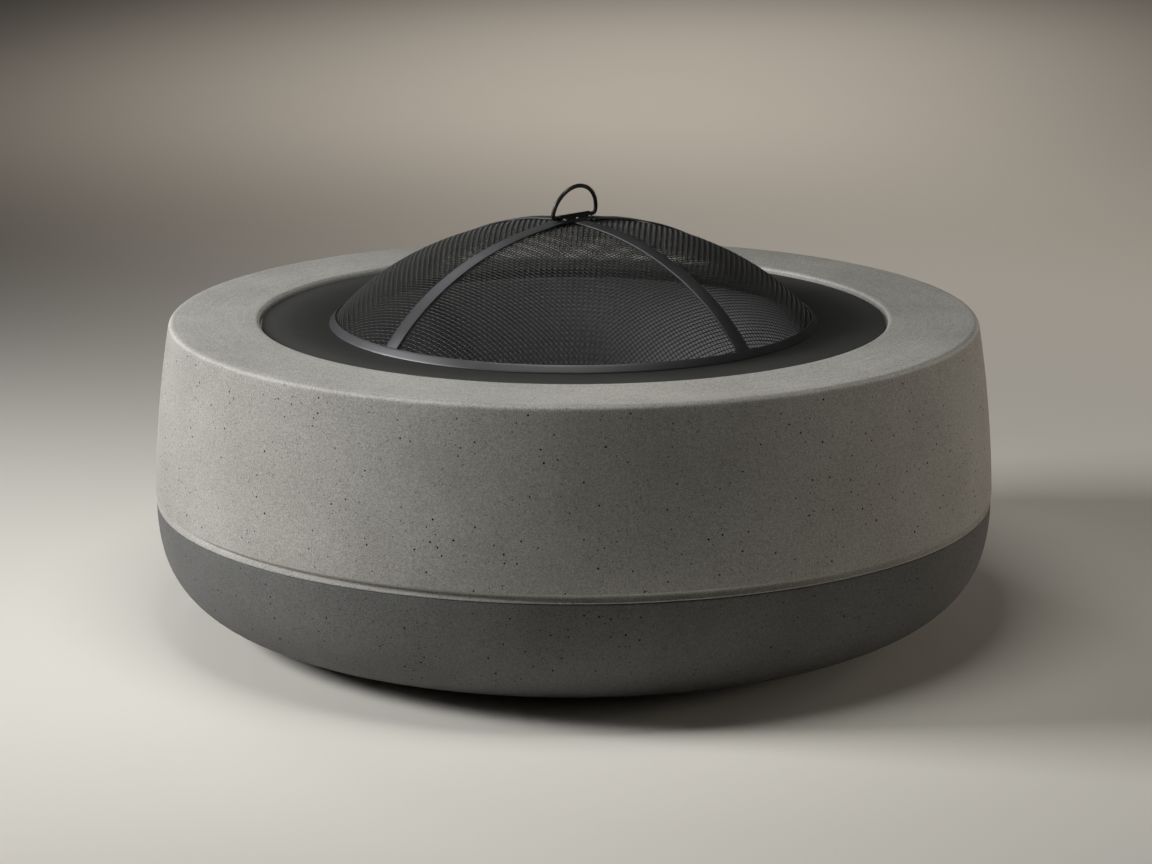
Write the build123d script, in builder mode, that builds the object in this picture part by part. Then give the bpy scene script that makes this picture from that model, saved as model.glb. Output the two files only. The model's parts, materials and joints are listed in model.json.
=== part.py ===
import os
from math import acos, asin, atan2, cos, degrees, pi, radians, sin, sqrt, tan

from build123d import *

os.makedirs("parts", exist_ok=True)

# Sizes are in millimetres. The origin is on the ground under the middle of the fire pit, +Z up, front at -Y.

# Light upper casting
deck_height = 386.0  # ground to the flat deck
deck_edge_radius = 9.0
waist_radius = 533.0  # widest ring, at the top of the shadow groove
wall_lean = 21.5  # the wall leans in this much from the waist to the deck
wall_curve_radius = 1554.0  # slight bulge of the wall
deck_width = 114.0  # from the wall in to the opening for the fire bowl
hole_edge_radius = 6.0
ledge_width = 52.0  # rebate under the bowl's flange
ledge_thickness = 36.0
haunch_width = 28.0  # the inside wall leans in by this much under the deck
haunch_radius = 30.0

# Shadow groove and the joint of the two castings
joint_height = 156.5  # top of the dark base
groove_height = 9.5
groove_depth = 8.0
groove_lip = 1.5  # height of the light lip under the groove
groove_lip_setback = 1.2
groove_edge_radius = 1.6
tongue_width = 10.0
tongue_height = 10.0
tongue_clearance = 1.5
seal_width = 10.0
seal_thickness = 2.5
seal_squeeze = 0.5  # the seal stands this far out of its groove
seal_setback = 9.0  # from the outside of the base to the seal
seal_clearance = 0.3

# Dark base casting
base_setback = 1.0  # the base is this much inside the waist
casting_wall = 34.0
foot_standoff = 6.0  # the pads hold the base off the ground
rim_edge_radius = 2.0
rim_sweep_radius = 230.0
rim_sweep_angle = 13.0
side_radius = 112.0
side_angle = 60.0  # lean of the outside where the flat underside curve takes over
inside_radius = 52.0
inside_angle = 45.0
tie_land = 50.0  # straight inside wall each side of the joint, for the tie plates

# Feet
pad_count = 4
pad_first_angle = 45.0
pad_margin = 42.4  # from a pad out to where the flat foot starts to curve up
pad_radius = 30.0
pad_recess = 4.0
pad_clearance = 0.5
pad_head_recess = 5.0
screw_shank = 3.0
screw_head_radius = 8.0
screw_head_height = 4.0

# Tie plates, bolts and cast-in threaded inserts
tie_count = 4
tie_first_angle = 45.0
tie_width = 64.0
tie_thickness = 4.0
tie_edge = 6.0  # plate left beyond the straight wall's end
tie_seat_gap = 0.1
tie_bolt_spacing = 34.0  # between the two bolts of a row
tie_bolt_rise = 24.0  # from the joint to each row
bolt_shank = 4.0
bolt_head_radius = 7.0
bolt_head_height = 5.0
hex_sides = 6
bolt_grip = 16.0  # thread inside the insert
insert_wall = 3.0
insert_length = 20.0
fit_gap = 0.05

# Drain through the base
drain_radius = 11.0
drain_wall = 3.0
drain_lip_width = 7.0
drain_lip_height = 2.0

# Heat shield under the bowl
shield_radius = 240.0
shield_rim_rise = 30.0
shield_rim_run = 18.0
shield_sheet = 1.5
shield_lift = 60.0  # floor of the base to the shield
shield_post_circle = 150.0
shield_post_count = 4
post_first_angle = 0.0
post_wall = 5.0

# Fire bowl
bowl_gap = 2.5  # round the flange
flange_drop = 6.0  # deck down to the flange
flange_land = 29.0  # flat outer part of the flange, on the gasket
gasket_thickness = 2.0
gasket_inset = 3.0
bowl_sheet = 2.5
dish_width = 49.0  # sloping ring between the flange's flat and the screen's seat
seat_width = 17.0  # flat seat that the screen stands on
seat_drop = 2.8  # flange down to the seat, a gentle dish
mouth_edge_radius = 12.0
bowl_wall_angle = 68.0
bowl_corner_radius = 140.0
bowl_depth = 205.0
bowl_drain_radius = 8.0

# Log grate
grate_rod = 6.0  # radius of the round bar
grate_bar_count = 5
grate_margin = 110.0  # from the bowl's mouth in to the ends of the bars
outer_bar_margin = 52.0  # from the grate's round outline in to its outermost bars
bearer_overhang = 12.0  # the bearers reach this far past the outermost bars
leg_margin = 6.5  # from a leg out to where the bowl's flat floor starts to curve up
leg_angle = 40.0
grate_leg_height = 52.0

# Spark screen
hoop_margin = 6.5  # from the seat's outer edge in to the hoop
dome_height = 129.5  # seat up to the outside of the dome's crown
dome_margin = 43.5  # the ellipse of the dome's section is this much wider than the hoop, each side
strap_thickness = 2.0
strap_width = 20.0
strap_gap = 0.2  # between a strap and what it lies on
strap_end_gap = 0.25
hoop_width = 12.0
wire_radius = 0.6
mesh_edge_lift = 2.0  # the cut edge of the mesh stays off the seat
clamp_thickness = 1.5
clamp_width = 10.0
mesh_ring_count = 6  # rings of openings that stand for the fine wire
mesh_hub_radius = 24.0  # closed middle under the crossing of the straps
mesh_bar = 10.0  # left between two openings
strap_angle = 45.0  # first strap, front left to back right
cross_half = 30.0  # half of the raised part of the upper strap, where it crosses the lower one
cross_slope = 28.0  # each side of it, the upper strap comes down to the mesh

# Handle
rod_radius = 2.6
handle_radius = 36.5
handle_corner = 5.0
handle_rise = 4.0  # centre of the ring's arc above its straight bar
handle_lean = 11.0  # the ring stands leaning to the front right
saddle_sheet = 1.2
saddle_length = 52.0
saddle_ear = 6.0
saddle_play = 0.06
rivet_shank = 1.3
rivet_head_radius = 2.2
rivet_head_height = 1.1
rivet_pitch = 21.0
rivet_edge_radius = 0.7

# Places worked out from the sizes above
base_radius = waist_radius - base_setback
deck_radius = waist_radius - wall_lean  # where the wall would meet the deck without its rounded edge
hole_radius = deck_radius - deck_width
inner_radius = base_radius - casting_wall
tongue_radius = inner_radius + tongue_width
tongue_top = joint_height + tongue_height
surround_bottom = joint_height + seal_squeeze
lip_radius = waist_radius - groove_lip_setback
groove_bottom = surround_bottom + groove_lip
groove_top = groove_bottom + groove_height
rebate_radius = tongue_radius + tongue_clearance
rebate_top = tongue_top + tongue_clearance
seal_outer = base_radius - seal_setback
seal_inner = seal_outer - seal_width
seal_bottom = surround_bottom - seal_thickness

flange_radius = hole_radius - bowl_gap
flange_top = deck_height - flange_drop
gasket_top = flange_top - bowl_sheet
ledge_height = gasket_top - gasket_thickness
ledge_radius = hole_radius - ledge_width
slab_bottom = ledge_height - ledge_thickness
seat_height = flange_top - seat_drop
bowl_floor = seat_height - bowl_depth

seat_radius = flange_radius - flange_land - dish_width
mouth_radius = seat_radius - seat_width
hoop_radius = seat_radius - hoop_margin

floor_height = foot_standoff + casting_wall
side_lean = radians(side_angle)
sweep_lean = radians(rim_sweep_angle)
sweep_drop = rim_sweep_radius * sin(sweep_lean)
side_drop = side_radius * (sin(side_lean) - sin(sweep_lean))
under_radius = (joint_height - sweep_drop - side_drop - foot_standoff) / (1 - sin(side_lean))
sweep_run = rim_sweep_radius * (1 - cos(sweep_lean))
side_run = side_radius * (cos(sweep_lean) - cos(side_lean))
foot_radius = base_radius - sweep_run - side_run - under_radius * cos(side_lean)
pad_circle = foot_radius - pad_margin - pad_radius
pocket_top = foot_standoff + pad_recess
drain_bore = drain_radius + drain_wall + fit_gap
shield_bottom = floor_height + shield_lift

# The dome's section is part of an ellipse; the depths are from the outside of its hoop and straps
dome_reach = hoop_radius + dome_margin
dome_bulge = dome_height / (1 - sqrt(1 - (hoop_radius / dome_reach) ** 2))
dome_centre = seat_height + dome_height - dome_bulge
mesh_outer_depth = strap_thickness + strap_gap
weave_thickness = 2 * (2 * wire_radius)  # two wires where they cross
mesh_inner_depth = mesh_outer_depth + weave_thickness
clamp_outer_depth = mesh_inner_depth + strap_gap
clamp_inner_depth = clamp_outer_depth + clamp_thickness


def around(count, first):
    return [first + 360.0 * n / count for n in range(count)]


def radial_planes(radius, heights, angles):
    """Planes that face outward from the axis, at each height and angle."""
    planes = []
    for angle in angles:
        out = (cos(radians(angle)), sin(radians(angle)), 0)
        for height in heights:
            origin = (radius * out[0], radius * out[1], height)
            planes.append(Plane(origin=origin, x_dir=(0, 0, 1), z_dir=out))
    return planes


def level_planes(radius, height, angles):
    """Planes that face up, on a circle at one height."""
    return [
        Plane(origin=(radius * cos(radians(angle)), radius * sin(radians(angle)), height))
        for angle in angles
    ]


def add_rods(planes, radius, length):
    """Rods that start on the planes and run along their normals."""
    with BuildSketch(*planes) as discs:
        Circle(radius)
    extrude(discs.sketch, amount=length)


def cut_rods(planes, radius, length):
    with BuildSketch(*planes) as discs:
        Circle(radius)
    extrude(discs.sketch, amount=length, mode=Mode.SUBTRACT)


def save(piece, name):
    piece.part.label = name
    export_step(piece.part, f"parts/{name}.step")


tie_angles = around(tie_count, tie_first_angle)
pad_angles = around(pad_count, pad_first_angle)
post_angles = around(shield_post_count, post_first_angle)
half_bolt_angle = degrees(tie_bolt_spacing / 2 / inner_radius)
tie_bolt_angles = [a + s * half_bolt_angle for a in tie_angles for s in (-1, 1)]
tie_bolt_heights = (joint_height - tie_bolt_rise, joint_height + tie_bolt_rise)
insert_radius = bolt_shank + fit_gap + insert_wall
tie_insert_planes = radial_planes(inner_radius, tie_bolt_heights, tie_bolt_angles)
pad_insert_planes = level_planes(pad_circle, pocket_top, pad_angles)
pad_insert_radius = screw_shank + fit_gap + insert_wall
post_insert_planes = level_planes(shield_post_circle, floor_height - insert_length, post_angles)


def tie_bore_planes(heights):
    """Planes just inside the curved wall, where the bores for the tie inserts start."""
    return radial_planes(inner_radius - tie_thickness, heights, tie_bolt_angles)


# Dark base: a round-bottomed shell with a tongue inside its rim and a groove for the seal
with BuildPart() as base_shell:
    with BuildSketch(Plane.XZ) as base_section:
        with BuildLine():
            sweep_arc = JernArc((base_radius, joint_height), (0, -1), rim_sweep_radius, -rim_sweep_angle)
            side_arc = JernArc(sweep_arc @ 1, sweep_arc % 1, side_radius, rim_sweep_angle - side_angle)
            under_arc = JernArc(side_arc @ 1, side_arc % 1, under_radius, side_angle - 90)
            inside_wall = Line((inner_radius, tongue_top), (inner_radius, joint_height - tie_land))
            inside_arc = JernArc(inside_wall @ 1, (0, -1), inside_radius, -inside_angle)
            floor_drop = (inside_arc @ 1).Y - floor_height
            floor_radius = floor_drop / (1 - sin(radians(inside_angle)))
            floor_arc = JernArc(inside_arc @ 1, inside_arc % 1, floor_radius, inside_angle - 90)
            Polyline(under_arc @ 1, (drain_bore, foot_standoff), (drain_bore, floor_height), floor_arc @ 1)
            Polyline(
                (inner_radius, tongue_top),
                (tongue_radius, tongue_top),
                (tongue_radius, joint_height),
                (seal_inner - seal_clearance, joint_height),
                (seal_inner - seal_clearance, seal_bottom),
                (seal_outer + seal_clearance, seal_bottom),
                (seal_outer + seal_clearance, joint_height),
                (base_radius, joint_height),
            )
        make_face()
        rim_corner = base_section.vertices().sort_by_distance((base_radius, joint_height))[0]
        fillet(rim_corner, rim_edge_radius)
    revolve(axis=Axis.Z)
    cut_rods(level_planes(pad_circle, foot_standoff, pad_angles), pad_radius + pad_clearance, pad_recess)
    cut_rods(pad_insert_planes, pad_insert_radius + fit_gap, insert_length)
    cut_rods(post_insert_planes, insert_radius + fit_gap, insert_length)
    cut_rods(tie_bore_planes(tie_bolt_heights[:1]), insert_radius + fit_gap, tie_thickness + insert_length)
save(base_shell, "base_shell")

# Light surround: bulged wall, flat deck, rebate for the bowl and the shadow groove at its foot
with BuildPart() as upper_surround:
    with BuildSketch(Plane.XZ) as surround_section:
        with BuildLine():
            RadiusArc((deck_radius, deck_height), (waist_radius, groove_top), wall_curve_radius)
            Polyline(
                (waist_radius, groove_top),
                (waist_radius - groove_depth, groove_top - groove_height / 2),
                (lip_radius, groove_bottom),
                (lip_radius, surround_bottom),
                (rebate_radius, surround_bottom),
                (rebate_radius, rebate_top),
                (inner_radius, rebate_top),
                (inner_radius, joint_height + tie_land),
                (inner_radius - haunch_width, slab_bottom),
                (ledge_radius, slab_bottom),
                (ledge_radius, ledge_height),
                (hole_radius, ledge_height),
                (hole_radius, deck_height),
                (deck_radius, deck_height),
            )
        make_face()
        for corner, radius in (
            ((deck_radius, deck_height), deck_edge_radius),
            ((hole_radius, deck_height), hole_edge_radius),
            ((inner_radius - haunch_width, slab_bottom), haunch_radius),
            ((waist_radius, groove_top), groove_edge_radius),
            ((waist_radius - groove_depth, groove_top - groove_height / 2), groove_edge_radius),
        ):
            fillet(surround_section.vertices().sort_by_distance(corner)[0], radius)
    revolve(axis=Axis.Z)
    cut_rods(tie_bore_planes(tie_bolt_heights[1:]), insert_radius + fit_gap, tie_thickness + insert_length)
save(upper_surround, "upper_surround")

# Soft seal in the joint, and the heat-proof gasket under the bowl's flange
with BuildPart() as joint_seal:
    with BuildSketch(Plane.XY.offset(seal_bottom)):
        Circle(seal_outer)
        Circle(seal_inner, mode=Mode.SUBTRACT)
    extrude(amount=seal_thickness)
save(joint_seal, "joint_seal")

with BuildPart() as ledge_gasket:
    with BuildSketch(Plane.XY.offset(ledge_height)):
        Circle(flange_radius - gasket_inset)
        Circle(flange_radius - flange_land + gasket_inset, mode=Mode.SUBTRACT)
    extrude(amount=gasket_thickness)
save(ledge_gasket, "ledge_gasket")

# Tie plates inside the joint, with their bolts and the inserts cast into both shells
tie_outer = inner_radius - tie_seat_gap
tie_inner = tie_outer - tie_thickness
tie_arc = degrees(tie_width / inner_radius)
for number, angle in enumerate(tie_angles, 1):
    with BuildPart() as tie_plate:
        with BuildSketch(Plane.XZ.rotated((0, 0, angle - tie_arc / 2))):
            with Locations(((tie_inner + tie_outer) / 2, joint_height)):
                Rectangle(tie_thickness, 2 * (tie_land - tie_edge))
        revolve(axis=Axis.Z, revolution_arc=tie_arc)
        plate_bolt_angles = (angle - half_bolt_angle, angle + half_bolt_angle)
        drill_planes = radial_planes(tie_inner - tie_seat_gap, tie_bolt_heights, plate_bolt_angles)
        cut_rods(drill_planes, bolt_shank + fit_gap, tie_thickness + 2 * tie_seat_gap)
    save(tie_plate, f"tie_plate_{number}")

tie_head_planes = radial_planes(tie_inner - tie_seat_gap, tie_bolt_heights, tie_bolt_angles)
with BuildPart() as tie_bolts:
    with BuildSketch(*tie_head_planes):
        RegularPolygon(bolt_head_radius, hex_sides)
    extrude(amount=-bolt_head_height)
    add_rods(tie_head_planes, bolt_shank, tie_thickness + bolt_grip)
save(tie_bolts, "tie_bolts")

with BuildPart() as tie_inserts:
    add_rods(tie_insert_planes, insert_radius, insert_length)
    cut_rods(tie_insert_planes, bolt_shank + fit_gap, insert_length)
save(tie_inserts, "tie_inserts")

# Feet: rubber pads in pockets, each held by a screw into an insert
for number, angle in enumerate(pad_angles, 1):
    pad_planes = level_planes(pad_circle, 0, [angle])
    with BuildPart() as foot_pad:
        add_rods(pad_planes, pad_radius, pocket_top)
        cut_rods(pad_planes, screw_shank + pad_clearance, pocket_top)
        cut_rods(pad_planes, screw_head_radius + pad_clearance, pad_head_recess)
    save(foot_pad, f"foot_pad_{number}")

with BuildPart() as foot_screws:
    head_planes = level_planes(pad_circle, pad_head_recess, pad_angles)
    add_rods(head_planes, screw_head_radius, -screw_head_height)
    add_rods(head_planes, screw_shank, pocket_top - pad_head_recess + bolt_grip)
save(foot_screws, "foot_screws")

with BuildPart() as foot_inserts:
    add_rods(pad_insert_planes, pad_insert_radius, insert_length)
    cut_rods(pad_insert_planes, screw_shank + fit_gap, insert_length)
save(foot_inserts, "foot_inserts")

# Rain drain through the floor of the base
with BuildPart() as drain_sleeve:
    with BuildSketch(Plane.XZ):
        with BuildLine():
            Polyline(
                (drain_radius, foot_standoff),
                (drain_radius + drain_wall, foot_standoff),
                (drain_radius + drain_wall, floor_height),
                (drain_bore + drain_lip_width, floor_height),
                (drain_bore + drain_lip_width, floor_height + drain_lip_height),
                (drain_radius, floor_height + drain_lip_height),
                close=True,
            )
        make_face()
    revolve(axis=Axis.Z)
save(drain_sleeve, "drain_sleeve")

# Heat shield on spacer posts bolted to the floor
post_planes = level_planes(shield_post_circle, floor_height, post_angles)
post_head_planes = level_planes(shield_post_circle, shield_bottom + shield_sheet, post_angles)
rim_radius = shield_radius + shield_rim_run
rim_top = shield_bottom + shield_rim_rise
rim_length = sqrt(shield_rim_rise**2 + shield_rim_run**2)
rim_shift = shield_sheet * (rim_length - shield_rim_run) / shield_rim_rise
with BuildPart() as heat_shield:
    with BuildSketch(Plane.XZ):
        with BuildLine():
            Polyline(
                (drain_radius, shield_bottom),
                (shield_radius, shield_bottom),
                (rim_radius, rim_top),
                (rim_radius - rim_shift, rim_top + shield_sheet),
                (shield_radius - rim_shift, shield_bottom + shield_sheet),
                (drain_radius, shield_bottom + shield_sheet),
                close=True,
            )
        make_face()
    revolve(axis=Axis.Z)
    cut_rods(level_planes(shield_post_circle, shield_bottom, post_angles), bolt_shank + fit_gap, shield_sheet)
save(heat_shield, "heat_shield")

with BuildPart() as shield_posts:
    add_rods(post_planes, bolt_shank + fit_gap + post_wall, shield_lift)
    cut_rods(post_planes, bolt_shank + fit_gap, shield_lift)
save(shield_posts, "shield_posts")

with BuildPart() as shield_bolts:
    with BuildSketch(*post_head_planes):
        RegularPolygon(bolt_head_radius, hex_sides)
    extrude(amount=bolt_head_height)
    add_rods(post_head_planes, bolt_shank, -(shield_sheet + shield_lift + bolt_grip))
save(shield_bolts, "shield_bolts")

with BuildPart() as shield_inserts:
    add_rods(post_insert_planes, insert_radius, insert_length)
    cut_rods(post_insert_planes, bolt_shank + fit_gap, insert_length)
save(shield_inserts, "shield_inserts")


def bowl_line(depth):
    """One face of the bowl's sheet, from the flange's edge to the drain, a depth below the top face."""
    top = flange_top - depth
    seat = seat_height - depth
    Polyline(
        (flange_radius, top),
        (flange_radius - flange_land, top),
        (seat_radius, seat),
        (mouth_radius, seat),
    )
    edge = JernArc((mouth_radius, seat), (-1, 0), mouth_edge_radius - depth, bowl_wall_angle)
    corner = bowl_corner_radius + depth
    turned = 1 - cos(radians(bowl_wall_angle))
    run = ((edge @ 1).Y - (bowl_floor - depth) - corner * turned) / sin(radians(bowl_wall_angle))
    wall = Line(edge @ 1, (edge @ 1) + (edge % 1) * run)
    bend = JernArc(wall @ 1, wall % 1, corner, -bowl_wall_angle)
    Line(bend @ 1, (bowl_drain_radius, bowl_floor - depth))


# Spun steel fire bowl with a wide dished flange and a flat seat for the screen
with BuildPart() as fire_bowl:
    with BuildSketch(Plane.XZ):
        with BuildLine():
            bowl_line(0)
            bowl_line(bowl_sheet)
            Line((flange_radius, flange_top), (flange_radius, flange_top - bowl_sheet))
            Line((bowl_drain_radius, bowl_floor), (bowl_drain_radius, bowl_floor - bowl_sheet))
        make_face()
    revolve(axis=Axis.Z)
save(fire_bowl, "fire_bowl")

# Log grate: round bars on two bearers with four legs
wall_lean_angle = radians(bowl_wall_angle)
edge_drop = mouth_edge_radius * (1 - cos(wall_lean_angle))
corner_drop = bowl_corner_radius * (1 - cos(wall_lean_angle))
wall_run = (bowl_depth - edge_drop - corner_drop) / tan(wall_lean_angle)
round_run = (mouth_edge_radius + bowl_corner_radius) * sin(wall_lean_angle)
flat_radius = mouth_radius - round_run - wall_run
leg_circle = flat_radius - leg_margin - grate_rod
bearer_offset = leg_circle * cos(radians(leg_angle))
leg_offset = leg_circle * sin(radians(leg_angle))
grate_radius = mouth_radius - grate_margin
bar_pitch = 2 * (grate_radius - outer_bar_margin) / (grate_bar_count - 1)
bearer_reach = grate_radius - outer_bar_margin + bearer_overhang
bearer_height = bowl_floor + grate_leg_height + grate_rod
bar_height = bearer_height + 2 * grate_rod
for number in range(1, grate_bar_count + 1):
    across = (number - (grate_bar_count + 1) / 2) * bar_pitch
    reach = sqrt(grate_radius**2 - across**2)
    with BuildPart() as grate_bar:
        add_rods([Plane(origin=(-reach, across, bar_height), z_dir=(1, 0, 0))], grate_rod, 2 * reach)
    save(grate_bar, f"grate_bar_{number}")

for number, side in enumerate((-1, 1), 1):
    start = (side * bearer_offset, -bearer_reach, bearer_height)
    with BuildPart() as grate_bearer:
        add_rods([Plane(origin=start, z_dir=(0, 1, 0))], grate_rod, 2 * bearer_reach)
    save(grate_bearer, f"grate_bearer_{number}")

leg_places = [(x, y) for x in (-1, 1) for y in (-1, 1)]
for number, (x, y) in enumerate(leg_places, 1):
    foot = (x * bearer_offset, y * leg_offset, bowl_floor)
    with BuildPart() as grate_leg:
        add_rods([Plane(origin=foot)], grate_rod, grate_leg_height)
    save(grate_leg, f"grate_leg_{number}")


def dome_point(depth, angle):
    reach = dome_reach - depth
    bulge = dome_bulge - depth
    return (reach * cos(radians(angle)), dome_centre + bulge * sin(radians(angle)))


def dome_arc(depth, start, end):
    """Arc of the dome's section between two angles of its ellipse."""
    centre = (0, dome_centre)
    return EllipticalCenterArc(centre, dome_reach - depth, dome_bulge - depth, start, arc_size=end - start)


def level_angle(depth, height):
    return degrees(asin((height - dome_centre) / (dome_bulge - depth)))


def run_angle(depth, run):
    return degrees(acos(run / (dome_reach - depth)))


hoop_low_angle = level_angle(0, seat_height)
rim_out = dome_reach * sin(radians(hoop_low_angle))
rim_up = dome_bulge * cos(radians(hoop_low_angle))
rim_speed = radians(sqrt(rim_out**2 + rim_up**2))  # along the dome for each degree, at the rim
hoop_top_angle = hoop_low_angle + hoop_width / rim_speed
clamp_top_angle = hoop_low_angle + clamp_width / rim_speed
strap_end_angle = hoop_top_angle + strap_end_gap / rim_speed


def dome_band(outer_depth, inner_depth, bottom, top_angle):
    """Face of a band that follows the dome from a height up to an angle."""
    low_outer = level_angle(outer_depth, bottom)
    low_inner = level_angle(inner_depth, bottom)
    with BuildLine() as outline:
        dome_arc(outer_depth, low_outer, top_angle)
        dome_arc(inner_depth, low_inner, top_angle)
        Line(dome_point(outer_depth, low_outer), dome_point(inner_depth, low_inner))
        Line(dome_point(outer_depth, top_angle), dome_point(inner_depth, top_angle))
    make_face(outline.edges())


def ring_openings(inner, outer):
    """Openings of one ring of the mesh, about as wide as they are deep."""
    middle = (inner + outer) / 2
    count = 4 * round(2 * pi * middle / (4 * (outer - inner + mesh_bar)))
    with BuildSketch() as ring:
        Circle(outer)
        Circle(inner, mode=Mode.SUBTRACT)
        with PolarLocations(middle, count):
            Rectangle(2 * (outer - inner), mesh_bar, mode=Mode.SUBTRACT)
    return ring.sketch


# Spark screen: hoop, clamp ring and the pressed dome of woven wire held between them
with BuildPart() as screen_hoop:
    with BuildSketch(Plane.XZ):
        dome_band(0, strap_thickness, seat_height, hoop_top_angle)
    revolve(axis=Axis.Z)
save(screen_hoop, "screen_hoop")

with BuildPart() as clamp_ring:
    with BuildSketch(Plane.XZ):
        dome_band(clamp_outer_depth, clamp_inner_depth, seat_height, clamp_top_angle)
    revolve(axis=Axis.Z)
save(clamp_ring, "clamp_ring")

mesh_open_radius = dome_point(clamp_inner_depth, hoop_top_angle)[0]
mesh_ring_pitch = (mesh_open_radius + mesh_bar - mesh_hub_radius) / mesh_ring_count
with BuildPart() as mesh_dome:
    with BuildSketch(Plane.XZ):
        dome_band(mesh_outer_depth, mesh_inner_depth, seat_height + mesh_edge_lift, 90)
    revolve(axis=Axis.Z)
    with BuildSketch(Plane.XY.offset(seat_height)) as mesh_openings:
        for number in range(mesh_ring_count):
            ring_start = mesh_hub_radius + number * mesh_ring_pitch
            add(ring_openings(ring_start, ring_start + mesh_ring_pitch - mesh_bar))
    extrude(mesh_openings.sketch, amount=dome_height, mode=Mode.SUBTRACT)
save(mesh_dome, "mesh_dome")


def strap_line(depth, lift):
    """One long side of a strap's section."""
    if not lift:
        dome_arc(depth, strap_end_angle, 180 - strap_end_angle)
        return
    raised = depth - lift
    start = run_angle(raised, cross_half)
    middle = dome_arc(raised, start, 180 - start)
    low = run_angle(depth, cross_half + cross_slope)
    right = dome_arc(depth, strap_end_angle, low)
    left = dome_arc(depth, 180 - low, 180 - strap_end_angle)
    Line(right @ 1, middle @ 0)
    Line(middle @ 1, left @ 0)


def strap(angle, lift):
    """A flat strap over the dome, from hoop to hoop, its middle raised by lift."""
    along = (cos(radians(angle)), sin(radians(angle)), 0)
    upright = Plane(origin=(0, 0, 0), x_dir=along, z_dir=(along[1], -along[0], 0))
    with BuildSketch(upright) as side_face:
        with BuildLine():
            for depth in (0, strap_thickness):
                strap_line(depth, lift)
            Line(dome_point(0, strap_end_angle), dome_point(strap_thickness, strap_end_angle))
            Line(dome_point(0, 180 - strap_end_angle), dome_point(strap_thickness, 180 - strap_end_angle))
        make_face()
    extrude(side_face.sketch, amount=strap_width / 2, both=True)


over_lift = strap_thickness + strap_gap
saddle_bottom = seat_height + dome_height + over_lift
bar_height_crown = saddle_bottom + rod_radius + saddle_play
bar_along = (cos(radians(strap_angle)), sin(radians(strap_angle)), 0)
bar_across = (bar_along[1], -bar_along[0], 0)
saddle_outer = rod_radius + saddle_play + saddle_sheet
rivet_offset = saddle_outer + saddle_ear / 2
rivet_planes = [
    Plane(
        origin=(
            a * rivet_pitch * bar_along[0] + s * rivet_offset * bar_across[0],
            a * rivet_pitch * bar_along[1] + s * rivet_offset * bar_across[1],
            saddle_bottom + saddle_sheet,
        )
    )
    for a in (-1, 0, 1)
    for s in (-1, 1)
]
rivet_length = saddle_sheet + strap_thickness

with BuildPart() as strap_under:
    strap(strap_angle + 90, 0)
save(strap_under, "strap_under")

with BuildPart() as strap_over:
    strap(strap_angle, over_lift)
    cut_rods(rivet_planes, rivet_shank + fit_gap, -(rivet_length + strap_thickness))
save(strap_over, "strap_over")

# Carrying handle: a D-shaped ring whose straight bar turns in a riveted saddle on the crown
lean_across = cos(radians(handle_lean))
ring_normal = (bar_across[0] * lean_across, bar_across[1] * lean_across, -sin(radians(handle_lean)))
bar_plane = Plane(origin=(0, 0, bar_height_crown), x_dir=bar_along, z_dir=ring_normal)
bar_half = sqrt((handle_radius - handle_corner) ** 2 - (handle_rise - handle_corner) ** 2)
corner_angle = degrees(atan2(handle_corner - handle_rise, bar_half))
with BuildPart() as handle_ring:
    with BuildLine(bar_plane) as ring_half:
        Line((0, 0), (bar_half, 0))
        CenterArc((bar_half, handle_corner), handle_corner, -90, 90 + corner_angle)
        CenterArc((0, handle_rise), handle_radius, corner_angle, 90 - corner_angle)
    with BuildSketch(Plane(origin=bar_plane.origin, z_dir=bar_along)):
        Circle(rod_radius)
    sweep(path=ring_half.wires()[0])
    mirror(about=Plane(origin=bar_plane.origin, z_dir=bar_along))
save(handle_ring, "handle_ring")

saddle_side = (-bar_across[0], -bar_across[1], 0)
saddle_plane = Plane(origin=(0, 0, saddle_bottom), x_dir=saddle_side, z_dir=bar_along)
saddle_bore = rod_radius + saddle_play
bar_rise = bar_height_crown - saddle_bottom
with BuildPart() as handle_saddle:
    with BuildSketch(saddle_plane):
        Rectangle(2 * (saddle_outer + saddle_ear), saddle_sheet, align=(Align.CENTER, Align.MIN))
        Rectangle(2 * saddle_outer, bar_rise, align=(Align.CENTER, Align.MIN))
        with Locations((0, bar_rise)):
            Circle(saddle_outer)
            Circle(saddle_bore, mode=Mode.SUBTRACT)
        Rectangle(2 * saddle_bore, bar_rise, align=(Align.CENTER, Align.MIN), mode=Mode.SUBTRACT)
        Rectangle(2 * saddle_outer, saddle_outer, align=(Align.CENTER, Align.MAX), mode=Mode.SUBTRACT)
    extrude(amount=saddle_length / 2, both=True)
    cut_rods(rivet_planes, rivet_shank + fit_gap, -rivet_length)
save(handle_saddle, "handle_saddle")

with BuildPart() as saddle_rivets:
    add_rods(rivet_planes, rivet_head_radius, rivet_head_height)
    head_edges = saddle_rivets.edges().group_by(Axis.Z)[-1]
    fillet(head_edges, rivet_edge_radius)
    add_rods(rivet_planes, rivet_shank, -rivet_length)
save(saddle_rivets, "saddle_rivets")
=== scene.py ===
import json
from math import acos, asin, atan2, cos, pi, radians, sin, sqrt

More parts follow.
